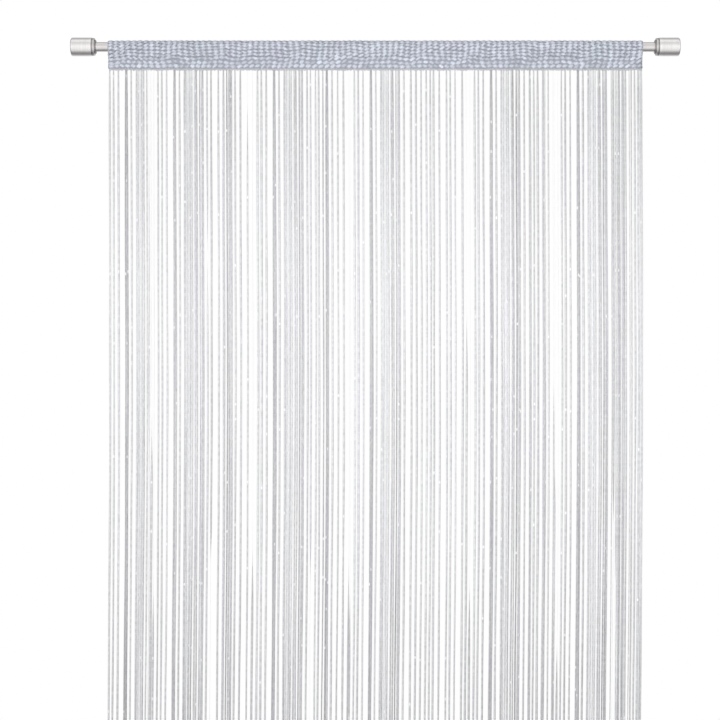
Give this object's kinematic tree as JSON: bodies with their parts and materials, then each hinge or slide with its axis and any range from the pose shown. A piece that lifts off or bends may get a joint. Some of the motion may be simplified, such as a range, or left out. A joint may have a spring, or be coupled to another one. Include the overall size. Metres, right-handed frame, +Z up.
{
  "type": "string curtain with tension rod",
  "caption": "String curtain: long loose strings under a knitted heading, hung on a straight metal tension rod with wide flat-ended caps.",
  "frame": {"origin": "centre of the left end cap's flat wall face, on the rod's axis", "axes": "+X along the rod from left to right as seen from the room, +Z up, -Y towards the room"},
  "size_m": [1.025, 0.031, 2.0042],
  "materials": {
    "heading_knit": "chunky blue-grey polyester knit with a slight sheen",
    "string_yarn": "pale silver-grey polyester yarn with small foil flecks",
    "rod_steel": "satin brushed",
    "cap_steel": "satin brushed, slightly brighter on its edges"
  },
  "bodies": {
    "root": {"heading_band": "heading_knit", "string_fringe": "string_yarn", "rod_tube": "rod_steel", "end_cap_left": "cap_steel", "end_cap_right": "cap_steel", "collar_left": "cap_steel", "collar_right": "cap_steel"}
  },
  "joints": []
}
